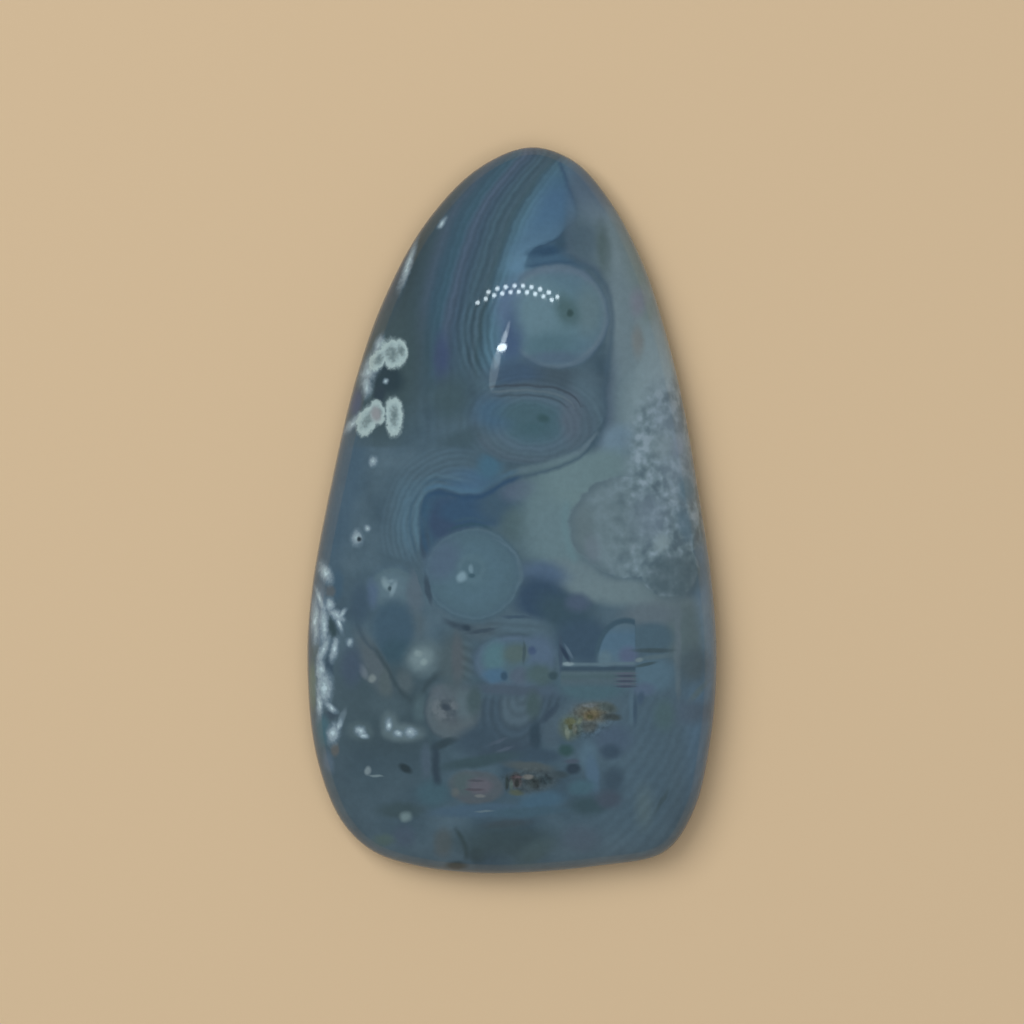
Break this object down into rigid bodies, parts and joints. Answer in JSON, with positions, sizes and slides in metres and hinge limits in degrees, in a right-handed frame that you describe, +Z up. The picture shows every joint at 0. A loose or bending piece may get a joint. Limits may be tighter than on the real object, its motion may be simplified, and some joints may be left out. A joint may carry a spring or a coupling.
{
  "type": "agate",
  "caption": "Polished freeform agate: a drop-shaped stone with a domed face, a soft shoulder and a flat back that it rests on.",
  "frame": {"origin": "under the middle of the stone, on the plane of its flat back", "axes": "+Y towards the narrow tip of the drop, +Z up through the dome, +X to the right as the domed face is seen"},
  "size_m": [0.0282, 0.05, 0.007],
  "materials": {
    "agate": "polished, banded blue-grey chalcedony"
  },
  "bodies": {
    "root": {"agate": "agate"}
  },
  "joints": []
}
